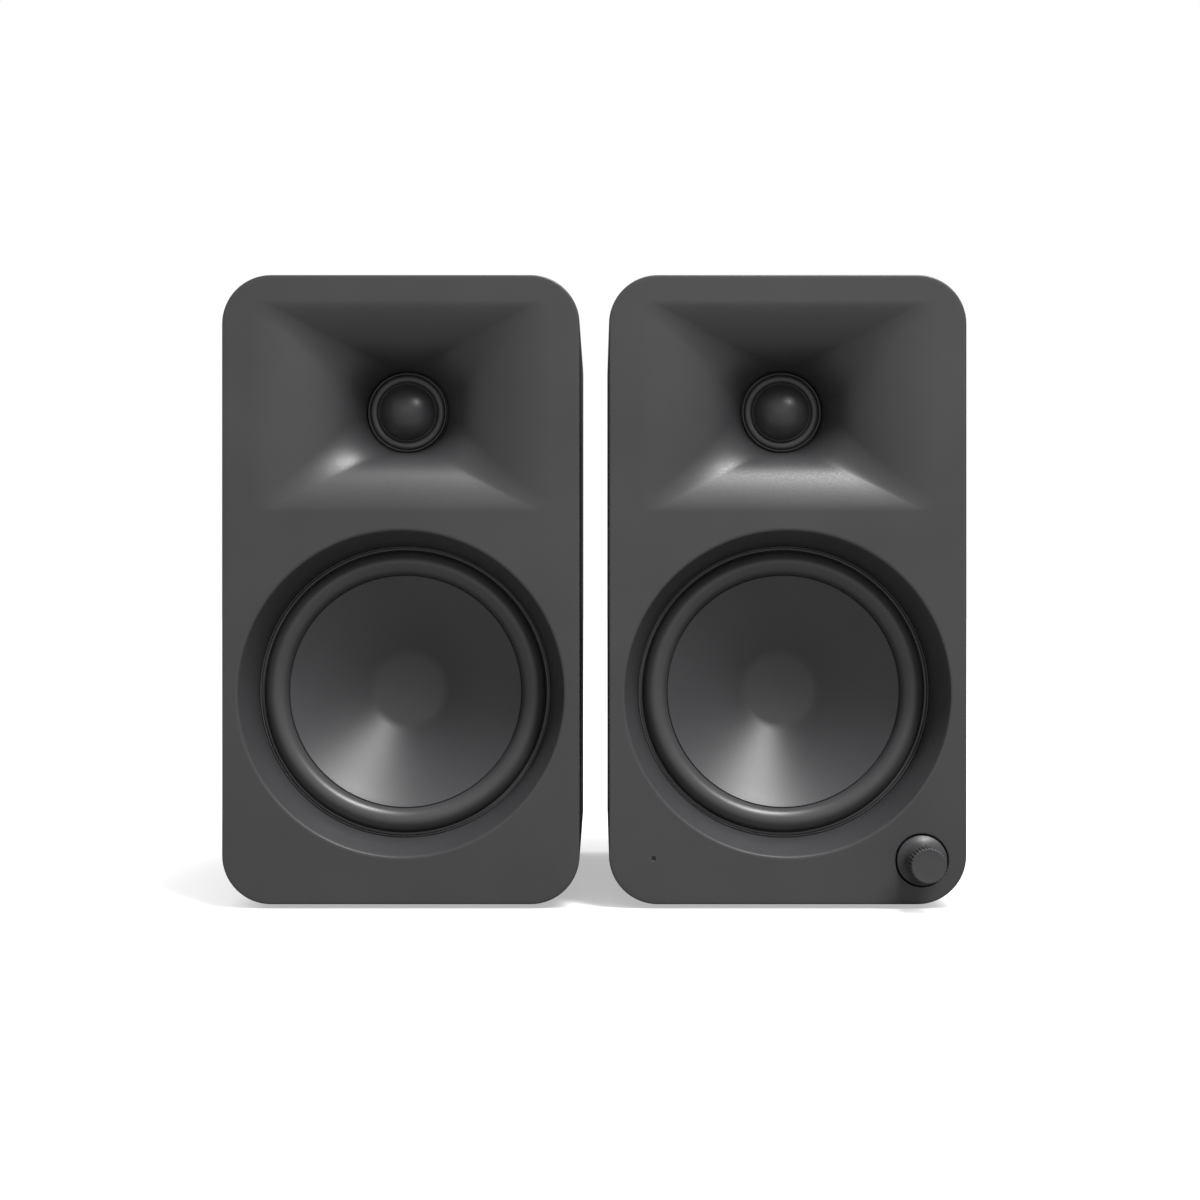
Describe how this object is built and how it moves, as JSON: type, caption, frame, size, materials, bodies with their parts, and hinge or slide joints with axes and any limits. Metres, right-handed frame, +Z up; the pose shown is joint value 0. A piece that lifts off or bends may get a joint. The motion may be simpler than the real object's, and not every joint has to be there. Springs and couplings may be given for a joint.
{
  "type": "desktop speakers",
  "caption": "Pair of compact two-way powered desktop speakers with waveguide tweeters, recessed woofers, rear ports and a front volume knob.",
  "frame": {"origin": "on the desk surface, below the middle of the pair's overall box", "axes": "+X to the viewer's right along the pair, +Y from the fronts to the backs, +Z up"},
  "size_m": [0.2082, 0.156, 0.1773],
  "materials": {
    "case_plastic": "dark charcoal, fine matte moulded texture",
    "panel_plastic": "near black, matte",
    "driver_plastic": "black, satin",
    "screw_steel": "blackened steel",
    "foot_rubber": "black, matte",
    "surround_rubber": "dark charcoal, satin",
    "cone": "dark charcoal, satin, very fine grain",
    "winding": "enamelled copper",
    "spider_cloth": "resin treated cloth",
    "motor_steel": "zinc plated",
    "ferrite": "dark grey, ground",
    "dome_cloth": "coated silk, satin",
    "foam": "open cell foam",
    "circuit_board": "green solder mask",
    "lead_sheath": "soft sheath",
    "aluminium": "satin",
    "lens": "clear light pipe",
    "socket_metal": "nickel plated"
  },
  "bodies": {
    "right_speaker": {"right_cabinet": "case_plastic", "right_front_baffle": "case_plastic", "right_rear_panel": "panel_plastic", "right_case_screws": "screw_steel", "right_driver_screws": "screw_steel", "right_feet": "foot_rubber", "right_port_tube": "panel_plastic", "right_woofer_frame": "driver_plastic", "right_woofer_surround": "surround_rubber", "right_woofer_spider": "spider_cloth", "right_woofer_top_plate": "motor_steel", "right_woofer_magnet": "ferrite", "right_woofer_yoke": "motor_steel", "right_tweeter_flange": "driver_plastic", "right_tweeter_surround": "surround_rubber", "right_tweeter_magnet": "motor_steel", "right_tweeter_cup": "motor_steel", "right_damping_foam": "foam", "right_link_socket": "driver_plastic", "right_crossover_board": "circuit_board", "right_wiring": "lead_sheath", "encoder_body": "driver_plastic", "status_lens": "lens", "control_board": "circuit_board", "amp_board": "circuit_board", "heat_sink": "aluminium", "rca_sockets": "socket_metal", "power_socket": "driver_plastic"},
    "left_speaker": {"left_cabinet": "case_plastic", "left_front_baffle": "case_plastic", "left_rear_panel": "panel_plastic", "left_case_screws": "screw_steel", "left_driver_screws": "screw_steel", "left_feet": "foot_rubber", "left_port_tube": "panel_plastic", "left_woofer_frame": "driver_plastic", "left_woofer_surround": "surround_rubber", "left_woofer_spider": "spider_cloth", "left_woofer_top_plate": "motor_steel", "left_woofer_magnet": "ferrite", "left_woofer_yoke": "motor_steel", "left_tweeter_flange": "driver_plastic", "left_tweeter_surround": "surround_rubber", "left_tweeter_magnet": "motor_steel", "left_tweeter_cup": "motor_steel", "left_damping_foam": "foam", "left_link_socket": "driver_plastic", "left_crossover_board": "circuit_board", "left_wiring": "lead_sheath"},
    "right_woofer_moving": {"right_woofer_cone": "cone", "right_woofer_voice_coil": "winding"},
    "right_tweeter_moving": {"right_tweeter_dome": "dome_cloth", "right_tweeter_voice_coil": "winding"},
    "left_woofer_moving": {"left_woofer_cone": "cone", "left_woofer_voice_coil": "winding"},
    "left_tweeter_moving": {"left_tweeter_dome": "dome_cloth", "left_tweeter_voice_coil": "winding"},
    "encoder_rotor": {"encoder_rotor": "aluminium"},
    "volume_knob": {"volume_knob": "case_plastic", "encoder_shaft": "motor_steel"}
  },
  "joints": [
    {"name": "left_speaker_place", "type": "slide", "parent": "right_speaker", "child": "left_speaker", "axis": [1, 0, 0], "range_m": [-0.5, 0]},
    {"name": "left_woofer_travel", "type": "slide", "parent": "left_speaker", "child": "left_woofer_moving", "axis": [0, 1, 0], "range_m": [-0.0025, 0.0025], "stiffness_N_per_m": 1700, "deforming": ["left_woofer_surround", "left_woofer_spider"]},
    {"name": "left_tweeter_travel", "type": "slide", "parent": "left_speaker", "child": "left_tweeter_moving", "axis": [0, 1, 0], "range_m": [-0.0003, 0.0003], "stiffness_N_per_m": 800, "deforming": ["left_tweeter_surround"]},
    {"name": "right_woofer_travel", "type": "slide", "parent": "right_speaker", "child": "right_woofer_moving", "axis": [0, 1, 0], "range_m": [-0.0025, 0.0025], "stiffness_N_per_m": 1700, "deforming": ["right_woofer_surround", "right_woofer_spider"]},
    {"name": "right_tweeter_travel", "type": "slide", "parent": "right_speaker", "child": "right_tweeter_moving", "axis": [0, 1, 0], "range_m": [-0.0003, 0.0003], "stiffness_N_per_m": 800, "deforming": ["right_tweeter_surround"]},
    {"name": "volume_turn", "type": "hinge", "parent": "right_speaker", "child": "encoder_rotor", "pos_m": [0.0916, -0.065, 0.0136], "axis": [0, 1, 0], "continuous": true},
    {"name": "volume_press", "type": "slide", "parent": "encoder_rotor", "child": "volume_knob", "axis": [0, 1, 0], "range_m": [0, 0.0006], "stiffness_N_per_m": 4000, "springref_m": -0.0005}
  ]
}
